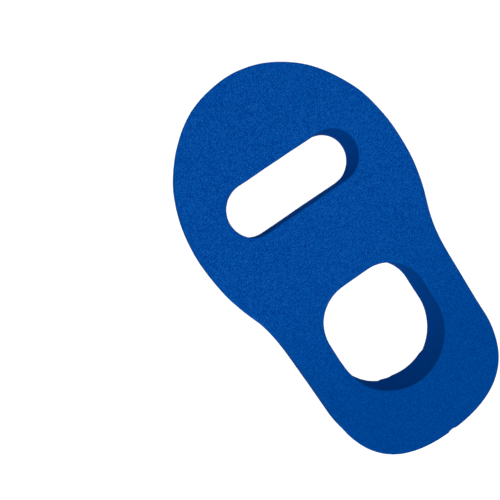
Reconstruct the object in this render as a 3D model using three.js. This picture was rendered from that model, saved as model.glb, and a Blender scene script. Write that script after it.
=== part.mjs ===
// A foam glove for boxing in water: one flat slab of closed-cell foam, cut right through twice.
// The hand goes through the wrist hole and the fingers close round the bar, through the finger slot.
// Millimetres. +X runs across the glove, +Y along it from cuff to head, +Z up through its thickness.
// The origin lies on the underside, at the middle of the length and of the width.

import * as THREE from 'three';

// Along the glove, from the cuff end to the top of the head
const CUFF_END_FOAM = 44.8;      // foam between the cuff end and the wrist hole
const WRIST_HOLE_LENGTH = 89;
const GRIP_BAR_WIDTH = 60.8;     // the bar that the fingers close round
const FINGER_SLOT_WIDTH = 39.2;
const HEAD_END_FOAM = 66.2;      // foam between the slot and the top of the head, which meets the water

// Across the glove
const FINGER_SLOT_LENGTH = 107;
const HEAD_SIDE_FOAM = 30.5;     // foam beside each end of the slot
const WRIST_HOLE_WIDTH = 82;
const CUFF_SIDE_FOAM = 26.8;     // foam beside the wrist hole
const CUFF_TAPER = 0.7;          // how much each side of the cuff draws in on its way to the end

// Through the glove
const THICKNESS = 33;
const RIM_RADIUS = 1.4;          // soft edge of every rim, outside and in both holes

// Stations of the outline
const HEAD_WIDEST_BELOW_SLOT = 12.6;   // from the slot's middle line down to the widest point of the head
const CUFF_STRAIGHT_LENGTH = 47;       // straight side of the cuff, between its rounded end and the waist
const CUFF_END_HEIGHT = 56;            // height of the rounded cuff end
const WRIST_HOLE_CORNER = 30;          // radius of the two corners beside the bar

// Mark where the blade entered, at the middle of the cuff end
const BLADE_MARK_WIDTH = 6;
const BLADE_MARK_DEPTH = 0.6;

// How full each bend of the outline is. A handle is a share of the width or height that its bend spans.
const CROWN = { across: 0.55, along: 0.58 };
const WAIST = { head: 0.52, cuff: 0.52 };
const CUFF_END = { across: 0.61, along: 0.68 };

// Steps that a curve is drawn in
const BEND_STEPS = 24;
const ARC_STEPS = 12;
const RIM_STEPS = 3;

// Places worked out from the sizes above, in a frame whose y is 0 at the cuff end
const holeLow = CUFF_END_FOAM;
const holeHigh = holeLow + WRIST_HOLE_LENGTH;
const slotMiddle = holeHigh + GRIP_BAR_WIDTH + FINGER_SLOT_WIDTH / 2;
const gloveLength = slotMiddle + FINGER_SLOT_WIDTH / 2 + HEAD_END_FOAM;
const headHalf = FINGER_SLOT_LENGTH / 2 + HEAD_SIDE_FOAM;
const headWidest = slotMiddle - HEAD_WIDEST_BELOW_SLOT;
const cuffHalf = WRIST_HOLE_WIDTH / 2 + CUFF_SIDE_FOAM;
const cuffEndHalf = cuffHalf - CUFF_TAPER;
const waistLow = CUFF_END_HEIGHT + CUFF_STRAIGHT_LENGTH;

// The right half of the outline, from the blade mark round the cuff end, up the side and over the crown
function rightHalf() {
	const crownHeight = gloveLength - headWidest;
	const waistHeight = headWidest - waistLow;
	const upTheSide = new THREE.Vector2(CUFF_TAPER, CUFF_STRAIGHT_LENGTH).normalize();
	const endHandle = upTheSide.clone().multiplyScalar(CUFF_END.along * CUFF_END_HEIGHT);
	const waistHandle = upTheSide.clone().multiplyScalar(WAIST.cuff * waistHeight);

	const half = new THREE.Path();
	half.moveTo(0, BLADE_MARK_DEPTH);
	half.lineTo(BLADE_MARK_WIDTH / 2, 0);
	half.bezierCurveTo(
		CUFF_END.across * cuffEndHalf, 0,
		cuffEndHalf - endHandle.x, CUFF_END_HEIGHT - endHandle.y,
		cuffEndHalf, CUFF_END_HEIGHT
	);
	half.lineTo(cuffHalf, waistLow);
	half.bezierCurveTo(
		cuffHalf + waistHandle.x, waistLow + waistHandle.y,
		headHalf, headWidest - WAIST.head * waistHeight,
		headHalf, headWidest
	);
	half.bezierCurveTo(
		headHalf, headWidest + CROWN.along * crownHeight,
		CROWN.across * headHalf, gloveLength,
		0, gloveLength
	);
	return half.getPoints(BEND_STEPS);
}

// The whole outline: the right half and its mirror image, without the two shared points twice
function gloveOutline() {
	const right = rightHalf();
	const left = right.slice(1, -1).reverse().map((point) => new THREE.Vector2(-point.x, point.y));
	return new THREE.Shape([...right, ...left]);
}

// A long slot with two round ends, for four fingers
function fingerSlot() {
	const radius = FINGER_SLOT_WIDTH / 2;
	const reach = FINGER_SLOT_LENGTH / 2 - radius;
	const slot = new THREE.Path();
	slot.absarc(reach, slotMiddle, radius, -Math.PI / 2, Math.PI / 2);
	slot.absarc(-reach, slotMiddle, radius, Math.PI / 2, 1.5 * Math.PI);
	slot.closePath();
	return slot;
}

// A hole with two rounded corners beside the bar and one full half circle towards the cuff end
function wristHole() {
	const radius = WRIST_HOLE_WIDTH / 2;
	const corner = Math.min(WRIST_HOLE_CORNER, radius, WRIST_HOLE_LENGTH - radius);
	const hole = new THREE.Path();
	hole.absarc(radius - corner, holeHigh - corner, corner, 0, Math.PI / 2);
	hole.absarc(corner - radius, holeHigh - corner, corner, Math.PI / 2, Math.PI);
	hole.absarc(0, holeLow + radius, radius, Math.PI, 2 * Math.PI);
	hole.closePath();
	return hole;
}

// The slab, with every rim rounded and the outline and holes at their full size half way up the walls
function foamSlab() {
	const outline = gloveOutline();
	outline.holes.push(fingerSlot(), wristHole());
	const slab = new THREE.ExtrudeGeometry(outline, {
		depth: THICKNESS - 2 * RIM_RADIUS,
		curveSegments: ARC_STEPS,
		bevelEnabled: true,
		bevelSize: RIM_RADIUS,
		bevelThickness: RIM_RADIUS,
		bevelOffset: -RIM_RADIUS,
		bevelSegments: RIM_STEPS,
	});
	return slab.translate(0, -gloveLength / 2, RIM_RADIUS);
}

const foam = new THREE.MeshStandardMaterial({ color: 0x05499c, roughness: 0.9, metalness: 0 });

const foamGlove = new THREE.Mesh(foamSlab(), foam);
foamGlove.name = 'foam_glove';

const glove = new THREE.Group();
glove.add(foamGlove);

export default glove;
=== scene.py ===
"""Looks of a foam glove for boxing in water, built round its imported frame.

The slab is drawn again from the frame's own walls in fine, even facets, so that it can carry the
soft rims, blade marks and slight swell of real foam. Lengths are in metres unless a comment says otherwise.
"""

import math

import bpy
import numpy as np
from mathutils import Matrix, Vector
from mathutils.geometry import delaunay_2d_cdt
from mathutils.kdtree import KDTree


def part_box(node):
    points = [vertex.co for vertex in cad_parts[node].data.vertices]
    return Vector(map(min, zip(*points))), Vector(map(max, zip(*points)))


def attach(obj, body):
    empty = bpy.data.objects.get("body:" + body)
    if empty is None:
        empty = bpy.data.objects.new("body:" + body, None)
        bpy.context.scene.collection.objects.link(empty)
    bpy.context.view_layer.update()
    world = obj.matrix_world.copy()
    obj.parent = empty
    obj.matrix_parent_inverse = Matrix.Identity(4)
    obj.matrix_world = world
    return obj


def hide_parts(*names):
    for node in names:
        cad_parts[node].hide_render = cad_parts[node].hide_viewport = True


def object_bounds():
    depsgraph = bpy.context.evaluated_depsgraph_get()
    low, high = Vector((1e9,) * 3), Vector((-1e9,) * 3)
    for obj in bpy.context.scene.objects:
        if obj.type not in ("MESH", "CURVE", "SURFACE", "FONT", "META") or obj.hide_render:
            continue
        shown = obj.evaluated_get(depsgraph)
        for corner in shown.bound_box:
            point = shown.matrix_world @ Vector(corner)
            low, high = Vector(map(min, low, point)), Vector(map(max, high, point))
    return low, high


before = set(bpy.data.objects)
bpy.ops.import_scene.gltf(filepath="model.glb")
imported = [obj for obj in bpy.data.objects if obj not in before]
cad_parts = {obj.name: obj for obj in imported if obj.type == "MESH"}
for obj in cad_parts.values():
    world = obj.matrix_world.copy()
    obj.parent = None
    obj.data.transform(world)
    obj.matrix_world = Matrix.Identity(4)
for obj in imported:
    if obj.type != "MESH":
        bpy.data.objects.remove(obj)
cad_low, cad_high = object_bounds()

MM = 0.001
NODE = "foam_glove"
SEED = 7
DECIMALS = 6                 # of a metre, to which facets that share a corner agree on it
SAME_POINT = 1e-9            # distance under which two points of a face count as one

# Fineness of the slab's mesh
FACET = 1.35 * MM
FACET_JITTER = 0.22          # share of a facet that a point on a face may stray
FACE_MARGIN = 0.72           # share of a facet that it keeps from the rim
RIM = 1.2 * MM               # radius of the rounded edge between a face and a wall
RIM_RINGS = 5
WALL_RINGS = 22

# Unevenness of cut foam
FACE_SWELL = 0.16 * MM       # how far the upper face rises and falls
FACE_SWELL_LENGTH = 55 * MM
FACE_GRAIN = 0.035 * MM
FACE_GRAIN_LENGTH = 3.4 * MM
WALL_SWELL = 0.14 * MM       # how far the blade wandered
WALL_SWELL_LENGTH = 34 * MM
WALL_CHATTER = 0.03 * MM
WALL_CHATTER_LENGTH = 3.2 * MM
CHATTER_UPRIGHT = 0.1        # how fast it changes going up a wall, as a share of going along it
SWELL_FADE = 4               # how sharply the upper face's swell dies out going down the walls
WAVES = 26                   # plane waves that make up one swell
WAVE_SPREAD = (0.6, 1.4)     # their shortest and longest frequency, as shares of the mean one

# Lip at the foot of the wrist hole's half circle: how many millimetres it stands in, by the angle in degrees
# round the half circle's middle
LIP_ANGLES = (-122, -118, -111, -105, -99, -90, -75, -64, -60.5, -52)
LIP_REACHES = (0, 1.0, 1.1, 1.85, 1.95, 1.75, 1.25, 0.7, -0.25, 0)
LIP_HEIGHT = 0.75            # share of the wall that the lip takes to fade out, going up

# How far each cut hole strays from the drawn one: at its left and right end along x, and then at its sides
# towards the cuff and towards the head along y
SLOT_STRAYS = (1.1 * MM, 0.3 * MM), (0.45 * MM, -0.5 * MM)
HOLE_STRAYS = (0.0, -0.25 * MM), (0.1 * MM, -0.2 * MM)

# How far each end of the finger slot bends away along y, by the place along x, both in millimetres
SLOT_BEND_PLACES = (-52, -32, 32, 50)
SLOT_BENDS = (-0.5, 0, 0, 0.4)

# Step that the blade left across the middle of the cuff end, where it went in and came out again: its depth
# by the place along x, both in millimetres
BLADE_MARK_PLACES = (-3.7, -2.8, 1.5)
BLADE_MARK_DEPTHS = (0, 0.45, 0)

# Lengths in the foam's grain, and how fine that grain is
CLOUD_LENGTH = 70 * MM
MOTTLE_LENGTH = 6 * MM
GRAIN_LENGTH = 1.1 * MM
PORE_LENGTH = 0.7 * MM
CELL_LENGTH = 0.38 * MM
BLADE_LINE_LENGTH = 1.6 * MM
BLADE_LINE_UPRIGHT = 0.08    # how fast they change going up a wall, as a share of going along it
FINE_DETAIL = 3              # finer layers of noise that are laid over the first
GRAIN_HARSHNESS = 0.7        # how strong each of them is beside the one before

# Where along y the painted shade of the cuff end starts to give way and the speckle starts to grow, and where
# the shade is gone and the speckle is fullest
LIGHT_AND_GRAIN_RAMP_PLACES = (-110 * MM, 20 * MM)

# Where a rim's rounding turns paler and smoother, from 0 at the face to 1 at the wall: there the pale band
# comes in and fades out
PALE_RIM_START = (0.05, 0.3)
PALE_RIM_END = (0.6, 0.95)

# Foam's tone, from 0 for deep to 1 for pale, and what each part of its make-up adds
MEAN_TONE = 0.5
CUT_TONE = 0.1
PALE_RIM_TONE = 0.12
CLOUD_TONE = 0.05
MOTTLE_TONE = 0.02
GRAIN_TONE = 0.06
BLADE_LINE_TONE = 0.06
CLOSED_CELL_TONE = 1.1
OPEN_CELL_TONE = 0.8         # what wide open cells add to that
MEAN_CELL = 0.5
CUT_SMOOTHNESS = 0.75        # share of the speckle that a cut wall loses
PALE_RIM_SMOOTHNESS = 0.5        # share of it that the pale band along a rim loses
FROST_AND_GLINT_TONES = (0.78, 1.2)    # where the palest cells start to turn whitish, partly as frost on the cells and partly as painted glints, and where they are all whitish
CUFF_PAINTED_LIGHT_SHARE = 0.86     # share of its colour that the foam shows at the cuff end: painted shade, darker towards the cuff
HEADWARD_PAINTED_LIGHT = 0.14       # what the painted light adds towards the head, where the painted shade is gone

# Relief of the foam, as shares of its depth
FACE_GRAIN_RELIEF = 0.5
FACE_PORE_RELIEF = 0.6
WALL_GRAIN_RELIEF = 0.15
WALL_LINE_RELIEF = 0.3
RELIEF_STRENGTH = 0.5
RELIEF_DEPTH = 0.25 * MM

# Gloss of the foam
ROUGHNESS = 0.86
ROUGHNESS_SWING = 0.06       # by which the grain roughens it and a cut smooths it
GLOSS = 0.002

# Foam colours, as linear red, green and blue
BLUE_DEEP = (0.0, 0.032, 0.243, 1)
BLUE_PALE = (0.0, 0.098, 0.418, 1)
# Whitish blue of the palest cells: partly frost on the cells, partly painted glints
BLUE_FROST_AND_GLINT = (0.012, 0.120, 0.462, 1)

# Camera of the photograph, its lens and sensor in millimetres, and where it looks on the underside's plane
CAMERA_AIM = Vector((-47.5, 39.3, 0.0)) * MM
CAMERA_DISTANCE = 481.4 * MM
CAMERA_AZIMUTH = math.radians(-132.97)
CAMERA_ELEVATION = math.radians(82.01)
CAMERA_ROLL = math.radians(98.93)
CAMERA_LENS = 46.68
CAMERA_SENSOR = 36.0

# Studio
FLOOR_WIDTH = 12.0
FLOOR_WHITE = (0.90, 0.90, 0.90, 1)
FLOOR_ROUGHNESS = 0.9
LIGHT_WHITE = (1, 1, 1, 1)
FLOOR_SEEN = 1.22            # how bright the floor looks where it is evened out
FLOOR_EVENNESS = 0.8         # share of its own light and shade that is evened out, to the camera alone
SKY_STRENGTH = 0.185
SKY_SEEN = 1.0               # how bright the sky looks behind the floor
BOX_WIDTH = 1.2

# Soft boxes: the place and the power in watts of each
SOFT_BOXES = {
    "top_light": (Vector((0.0, 0.0, 2.2)), 11.1),
    "left_light": (Vector((-1.5, 0.0, 1.7)), 19.5),
    "cuff_light": (Vector((0.0, -1.5, 1.7)), 13.8),
    "head_light": (Vector((1.06, 1.06, 1.7)), 9.6),
}


def placed(name, data):
    """A new object with that data, in the scene."""
    made = bpy.data.objects.new(name, data)
    bpy.context.scene.collection.objects.link(made)
    return made


def wall_lines(solid):
    """The closed lines that the solid's walls stand on, with the foam on their left, longest first."""
    low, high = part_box(NODE)
    tall = 0.5 * (high.z - low.z)
    following = {}
    for facet in solid.data.polygons:
        corners = [tuple(round(c, DECIMALS) for c in solid.data.vertices[i].co) for i in facet.vertices]
        base = min(c[2] for c in corners)
        if max(c[2] for c in corners) - base < tall:
            continue
        for here, after in zip(corners, corners[1:] + corners[:1]):
            if here[2] == base and after[2] == base:
                following[here[:2]] = after[:2]
    lines = []
    while following:
        point = start = next(iter(following))
        line = []
        while point in following:
            line.append(point)
            point = following.pop(point)
        assert point == start, "a wall's line isn't closed"
        lines.append(np.array(line))
    return sorted(lines, key=lambda line: np.ptp(line[:, 1]), reverse=True)


def even_points(line, step):
    """The closed line as a smooth curve through its points, drawn again with even steps.

    The curve leaves each point in the mean direction of the two chords that meet there, of which the longer
    counts for more, so that a long straight stretch stays straight.
    """
    after = np.roll(line, -1, 0)
    chord = np.linalg.norm(after - line, axis=1)[:, None]
    pull = (after - line) * chord
    bend = pull + np.roll(pull, 1, 0)
    bend /= np.linalg.norm(bend, axis=1)[:, None]
    start = np.concatenate([[0], np.cumsum(chord)])
    along = np.linspace(0, start[-1], round(start[-1] / step), endpoint=False)
    k = np.searchsorted(start, along, side="right") - 1
    t = ((along - start[k]) / chord[k, 0])[:, None]
    bend_after = np.roll(bend, -1, 0)
    return (
        (2 * t ** 3 - 3 * t ** 2 + 1) * line[k]
        + (t ** 3 - 2 * t ** 2 + t) * chord[k] * bend[k]
        + (3 * t ** 2 - 2 * t ** 3) * after[k]
        + (t ** 3 - t ** 2) * chord[k] * bend_after[k]
    )


def outward(line):
    """Unit directions out of the foam at each point of a closed line with the foam on its left."""
    run = np.roll(line, -1, 0) - np.roll(line, 1, 0)
    out = np.stack([run[:, 1], -run[:, 0]], 1)
    return out / np.linalg.norm(out, axis=1)[:, None]


def in_foam(points, lines):
    """True for each point that an odd number of the closed lines go round."""
    x, y = points.T
    odd = np.zeros(len(points), bool)
    for line in lines:
        for (x0, y0), (x1, y1) in zip(line, np.roll(line, -1, 0)):
            if y0 != y1:
                odd ^= ((y0 > y) != (y1 > y)) & (x < x0 + (y - y0) * (x1 - x0) / (y1 - y0))
    return odd


def inner_points(borders, draw):
    """Points of a loose triangular grid over a flat face, clear of its borders."""
    everything = np.concatenate(borders)
    low, high = everything.min(0), everything.max(0)
    row_step = FACET * math.sqrt(3) / 2
    rows, columns = (int(n) + 1 for n in (high - low)[::-1] / (row_step, FACET))
    row, column = np.mgrid[0:rows, 0:columns]
    grid = np.stack([low[0] + (column + 0.5 * (row % 2)) * FACET, low[1] + row * row_step], -1).reshape(-1, 2)
    grid += draw.uniform(-FACET_JITTER, FACET_JITTER, grid.shape) * FACET
    grid = grid[in_foam(grid, borders)]
    tree = KDTree(len(everything))
    for i, (x, y) in enumerate(everything):
        tree.insert((x, y, 0), i)
    tree.balance()
    clear = [tree.find((x, y, 0))[2] > FACE_MARGIN * FACET for x, y in grid]
    return grid[clear]


def face_triangles(borders, inner):
    """Triangles of a flat face, anticlockwise, over its borders' points and then its inner ones."""
    edges = []
    first = 0
    for border in borders:
        count = len(border)
        edges += [(first + i, first + (i + 1) % count) for i in range(count)]
        first += count
    points = np.concatenate([*borders, inner])
    made = delaunay_2d_cdt([Vector(p) for p in points], edges, [], 1, SAME_POINT)
    source = np.array([origins[0] for origins in made[3]])
    triangles = source[np.array(made[2])]
    return triangles[in_foam(points[triangles].mean(1), borders)]


def swell(points, length, draw):
    """Smooth unevenness from about -1 to 1 at each point, with bumps of that length."""
    total = np.zeros(len(points))
    for _ in range(WAVES):
        heading = draw.normal(size=points.shape[1])
        heading *= draw.uniform(*WAVE_SPREAD) / np.linalg.norm(heading)
        total += np.sin(points @ heading * (2 * math.pi / length) + draw.uniform(0, 2 * math.pi))
    return total / math.sqrt(WAVES)


def strayed(hole, strays):
    """A drawn hole, moved to where the blade really went."""
    moved = []
    for along, ends in zip(hole.T, strays):
        moved.append(along + np.interp(along, (along.min(), along.max()), ends))
    return np.stack(moved, 1)


def cut_lines():
    """The closed lines that the blade followed: the outline, the wrist hole and the finger slot."""
    drawn = wall_lines(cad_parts[NODE])
    outline, wrist_hole, finger_slot = (even_points(line, FACET) for line in drawn)
    wrist_hole = strayed(wrist_hole, HOLE_STRAYS)
    finger_slot = strayed(finger_slot, SLOT_STRAYS)
    finger_slot[:, 1] += np.interp(finger_slot[:, 0] / MM, SLOT_BEND_PLACES, SLOT_BENDS) * MM
    return outline, wrist_hole, finger_slot


def wall_profile():
    """How far each ring of a wall stands in, how high, and how far it is from face, 0, to cut wall, 1."""
    turn = np.linspace(0, math.pi / 2, RIM_RINGS + 1)
    lower_rim = np.stack([RIM * (1 - np.sin(turn)), RIM * (1 - np.cos(turn)), np.sin(turn)], 1)
    upper_rim = (lower_rim * (1, -1, 1) + (0, cad_high.z, 0))[::-1]
    straight = np.linspace(RIM, cad_high.z - RIM, WALL_RINGS + 1)[1:-1]
    wall = np.stack([0 * straight, straight, 0 * straight + 1], 1)
    return np.concatenate([lower_rim, wall, upper_rim]).T


def lip(points, hole):
    """How far the lip at the wrist hole's foot stands in, at each point of the hole's wall."""
    radius = 0.5 * np.ptp(hole[:, 0])
    middle_y = hole[:, 1].min() + radius
    angle = np.degrees(np.arctan2(points[:, 1] - middle_y, points[:, 0]))
    fade = np.clip(1 - points[:, 2] / (LIP_HEIGHT * cad_high.z), 0, 1)
    return np.interp(angle, LIP_ANGLES, LIP_REACHES) * MM * fade


def blade_mark(points):
    """How deep the blade's mark is at each point of the outer wall."""
    depth = np.interp(points[:, 0] / MM, BLADE_MARK_PLACES, BLADE_MARK_DEPTHS) * MM
    return depth * (points[:, 1] < 0)


def swell_face(points, draw):
    """Makes the slab's upper face uneven, and leaves its underside flat."""
    flat = points[:, :2]
    rise = FACE_SWELL * swell(flat, FACE_SWELL_LENGTH, draw) - FACE_SWELL
    rise += FACE_GRAIN * swell(flat, FACE_GRAIN_LENGTH, draw)
    points[:, 2] += rise * (points[:, 2] / cad_high.z) ** SWELL_FADE


def foam_slab():
    """The whole slab as one fine closed mesh, with an attribute that is 0 on its faces and 1 on its walls."""
    draw = np.random.default_rng(SEED)
    lines = cut_lines()
    outline, wrist_hole, _ = lines
    inset, height, cut = wall_profile()
    rings = len(height)

    points, cuts, quads, feet = [], [], [], []
    first = 0
    for line in lines:
        out = outward(line)
        ring_points = np.empty((len(line), rings, 3))
        ring_points[..., :2] = line[:, None] - out[:, None] * inset[:, None]
        ring_points[..., 2] = height
        flat = ring_points.reshape(-1, 3)
        push = WALL_SWELL * swell(flat, WALL_SWELL_LENGTH, draw)
        chatter = swell(flat * (1, 1, CHATTER_UPRIGHT), WALL_CHATTER_LENGTH, draw)
        push += WALL_CHATTER * np.tile(cut, len(line)) * chatter
        if line is wrist_hole:
            push += lip(flat, line)
        if line is outline:
            push -= blade_mark(flat)
        flat[:, :2] += push[:, None] * np.repeat(out, rings, 0)
        points.append(flat)
        cuts.append(np.tile(cut, len(line)))
        foot = first + np.arange(len(line)) * rings
        here = foot[:, None] + np.arange(rings - 1)
        after = np.roll(here, -1, 0)
        quads.append(np.stack([here, after, after + 1, here + 1], -1).reshape(-1, 4))
        feet.append(foot)
        first += len(flat)

    borders = [line - outward(line) * RIM for line in lines]
    inner = inner_points(borders, draw)
    triangles = face_triangles(borders, inner)
    foot = np.concatenate(feet)
    lower = np.concatenate([foot, first + np.arange(len(inner))])
    upper = np.concatenate([foot + rings - 1, first + len(inner) + np.arange(len(inner))])
    for level in (0, cad_high.z):
        points.append(np.column_stack([inner, np.full(len(inner), level)]))
        cuts.append(np.zeros(len(inner)))
    points = np.concatenate(points)
    swell_face(points, draw)

    mesh = bpy.data.meshes.new("foam_slab")
    facets = np.concatenate(quads).tolist() + lower[triangles[:, ::-1]].tolist() + upper[triangles].tolist()
    mesh.from_pydata(points.tolist(), [], facets)
    mesh.shade_smooth()
    attribute = mesh.attributes.new("cut", "FLOAT", "POINT")
    attribute.data.foreach_set("value", np.concatenate(cuts).astype(np.float32))
    return placed("foam_slab", mesh)


class Value:
    """A number that varies over a surface. Arithmetic on it adds Math nodes to its finish."""

    def __init__(self, finish, socket):
        self.finish = finish
        self.socket = socket

    def math(self, operation, first, second):
        return self.finish.add("ShaderNodeMath", {"operation": operation}, {0: first, 1: second})

    def __add__(self, other):
        return self.math("ADD", self, other)

    def __sub__(self, other):
        return self.math("SUBTRACT", self, other)

    def __rsub__(self, other):
        return self.math("SUBTRACT", other, self)

    def __mul__(self, other):
        return self.math("MULTIPLY", self, other)

    __radd__ = __add__
    __rmul__ = __mul__


class Finish:
    """The nodes of a material, or of the sky, which one method adds."""

    def __init__(self, owner):
        owner.use_nodes = True
        self.owner = owner
        self.tree = owner.node_tree
        self.tree.nodes.clear()

    def add(self, kind, settings=None, sockets=None, output=0):
        """Adds a node, sets it up, fills or links its sockets, and gives back one of its outputs."""
        node = self.tree.nodes.new(kind)
        for name, value in (settings or {}).items():
            setattr(node, name, value)
        for name, value in (sockets or {}).items():
            if isinstance(value, Value):
                self.tree.links.new(value.socket, node.inputs[name])
            else:
                node.inputs[name].default_value = value
        return Value(self, node.outputs[output]) if node.outputs else node

    def noise(self, place, length, detail=2.0, roughness=0.5):
        """Soft random unevenness from -1 to 1, with patches of that length."""
        sockets = {"Vector": place, "Scale": 1 / length, "Detail": detail, "Roughness": roughness}
        return 2 * self.add("ShaderNodeTexNoise", {"noise_dimensions": "3D"}, sockets) - 1

    def cells(self, place, length, output="Distance"):
        """Random cells of that length: the distance from each one's middle, or its colour."""
        sockets = {"Vector": place, "Scale": 1 / length}
        return self.add("ShaderNodeTexVoronoi", {"voronoi_dimensions": "3D"}, sockets, output)

    def step(self, value, low, high):
        """0 where the value is under low, 1 where it is over high, and smooth between them."""
        sockets = {"Value": value, "From Min": low, "From Max": high}
        return self.add("ShaderNodeMapRange", {"interpolation_type": "SMOOTHSTEP"}, sockets)

    def vector(self, operation, sockets):
        """Maths on places or colours."""
        return self.add("ShaderNodeVectorMath", {"operation": operation}, sockets)

    def mix_colours(self, share, first, second):
        """The first colour where the share is 0 and the second where it is 1.

        The node has a set of sockets for each kind of data, and 6, 7 and output 2 are the ones for colours.
        """
        sockets = {0: share, 6: first, 7: second}
        return self.add("ShaderNodeMix", {"data_type": "RGBA"}, sockets, output=2)

    def surface(self, sockets):
        """Ends the material in a Principled BSDF with these sockets."""
        shader = self.add("ShaderNodeBsdfPrincipled", None, sockets)
        self.add("ShaderNodeOutputMaterial", None, {"Surface": shader})
        return self.owner


def foam_finish():
    """Matte royal blue closed-cell foam: fine open cells on the faces, smoother walls where it was cut."""
    foam = Finish(bpy.data.materials.new("closed_cell_foam"))
    place = foam.add("ShaderNodeTexCoord", output="Object")
    cut = foam.add("ShaderNodeAttribute", {"attribute_name": "cut"}, output="Fac")
    face = 1 - cut

    clouds = foam.noise(place, CLOUD_LENGTH)
    mottle = foam.noise(place, MOTTLE_LENGTH, FINE_DETAIL)
    grain = foam.noise(place, GRAIN_LENGTH, FINE_DETAIL, GRAIN_HARSHNESS)
    pores = foam.cells(place, PORE_LENGTH)
    cells = foam.cells(place, CELL_LENGTH, "Color")
    drawn_out = foam.vector("MULTIPLY", {0: place, 1: (1, 1, BLADE_LINE_UPRIGHT)})
    blade_lines = foam.noise(drawn_out, BLADE_LINE_LENGTH)
    along = foam.add("ShaderNodeSeparateXYZ", None, {0: place}, "Y")
    # 0 at the cuff end and 1 towards the head: it ramps the painted shade of the cuff end and the speckle's
    #                                           strength
    headward_light_and_grain = foam.step(along, *LIGHT_AND_GRAIN_RAMP_PLACES)
    # A paler, smoother band along each rim's rounding
    pale_rim = foam.step(cut, *PALE_RIM_START) * (1 - foam.step(cut, *PALE_RIM_END))

    speckle = (CLOSED_CELL_TONE + OPEN_CELL_TONE * headward_light_and_grain) * (cells - MEAN_CELL) + GRAIN_TONE * grain
    coarseness = (1 - CUT_SMOOTHNESS * cut) * (1 - PALE_RIM_SMOOTHNESS * pale_rim)
    tone = MEAN_TONE + CUT_TONE * cut + PALE_RIM_TONE * pale_rim + CLOUD_TONE * clouds + MOTTLE_TONE * mottle
    tone = tone + coarseness * speckle + BLADE_LINE_TONE * cut * blade_lines
    blue = foam.mix_colours(tone, BLUE_DEEP, BLUE_PALE)
    # The palest cells turn whitish: partly frost on the cells, partly painted glints
    frosted_and_glinting = foam.mix_colours(foam.step(tone, *FROST_AND_GLINT_TONES), blue, BLUE_FROST_AND_GLINT)
    # Painted shade: the whole colour is scaled darker towards the cuff end
    light = CUFF_PAINTED_LIGHT_SHARE + HEADWARD_PAINTED_LIGHT * headward_light_and_grain
    colour = foam.vector("SCALE", {0: frosted_and_glinting, "Scale": light})

    face_relief = FACE_GRAIN_RELIEF * grain + FACE_PORE_RELIEF * pores
    wall_relief = WALL_GRAIN_RELIEF * grain + WALL_LINE_RELIEF * blade_lines
    relief = face * face_relief + cut * wall_relief
    bump_sockets = {"Strength": RELIEF_STRENGTH, "Distance": RELIEF_DEPTH, "Height": relief}
    return foam.surface({
        "Base Color": colour,
        "Roughness": ROUGHNESS + ROUGHNESS_SWING * grain - ROUGHNESS_SWING * cut,
        "Specular IOR Level": GLOSS,
        "Normal": foam.add("ShaderNodeBump", None, bump_sockets),
    })


def floor_finish():
    """Plain white board that looks almost evenly bright, and lights the foam as a board does."""
    board = Finish(bpy.data.materials.new("white_board"))
    lit_sockets = {"Base Color": FLOOR_WHITE, "Roughness": FLOOR_ROUGHNESS}
    lit = board.add("ShaderNodeBsdfPrincipled", None, lit_sockets)
    even = board.add("ShaderNodeEmission", None, {"Color": LIGHT_WHITE, "Strength": FLOOR_SEEN})
    share = FLOOR_EVENNESS * board.add("ShaderNodeLightPath", output="Is Camera Ray")
    seen = board.add("ShaderNodeMixShader", None, {0: share, 1: lit, 2: even})
    board.add("ShaderNodeOutputMaterial", None, {"Surface": seen})
    return board.owner


def studio_floor():
    """A wide plain floor under the glove."""
    half = FLOOR_WIDTH / 2
    mesh = bpy.data.meshes.new("floor")
    corners = [(-half, -half, 0), (half, -half, 0), (half, half, 0), (-half, half, 0)]
    mesh.from_pydata(corners, [], [(0, 1, 2, 3)])
    mesh.materials.append(floor_finish())
    floor = placed("floor", mesh)


def soft_box(name, place, power):
    """A square soft light that looks from its place to the glove."""
    light = bpy.data.lights.new(name, "AREA")
    light.shape = "SQUARE"
    light.size = BOX_WIDTH
    light.energy = power
    lamp = placed(name, light)
    lamp.location = place
    lamp.rotation_mode = "QUATERNION"
    lamp.rotation_quaternion = (-place).to_track_quat("-Z", "Y")
    lamp.visible_camera = False


def pale_sky():
    """Even white light from all round, and a white background."""
    sky = Finish(bpy.data.worlds.new("sky"))
    seen = sky.add("ShaderNodeLightPath", output="Is Camera Ray")
    strength = SKY_STRENGTH + (SKY_SEEN - SKY_STRENGTH) * seen
    background = sky.add("ShaderNodeBackground", None, {"Color": LIGHT_WHITE, "Strength": strength})
    sky.add("ShaderNodeOutputWorld", None, {"Surface": background})
    bpy.context.scene.world = sky.owner


def photo_camera():
    """The camera at the photograph's viewing angle, with the same tilt of its picture."""
    flat = math.cos(CAMERA_ELEVATION)
    back = Vector((
        math.sin(CAMERA_AZIMUTH) * flat,
        -math.cos(CAMERA_AZIMUTH) * flat,
        math.sin(CAMERA_ELEVATION),
    ))
    level = Vector((math.cos(CAMERA_AZIMUTH), math.sin(CAMERA_AZIMUTH), 0))
    upright = back.cross(level)
    right = level * math.cos(CAMERA_ROLL) + upright * math.sin(CAMERA_ROLL)
    up = back.cross(right)
    data = bpy.data.cameras.new("camera")
    data.sensor_width = CAMERA_SENSOR
    data.lens = CAMERA_LENS
    camera = placed("camera", data)
    turn = Matrix((right, up, back)).transposed().to_4x4()
    camera.matrix_world = Matrix.Translation(CAMERA_AIM + back * CAMERA_DISTANCE) @ turn
    bpy.context.scene.camera = camera


slab = foam_slab()
slab.data.materials.append(foam_finish())
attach(slab, "root")
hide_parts(NODE)

studio_floor()
for name, (place, power) in SOFT_BOXES.items():
    soft_box(name, place, power)
pale_sky()
photo_camera()
bpy.context.scene.view_settings.view_transform = "Standard"
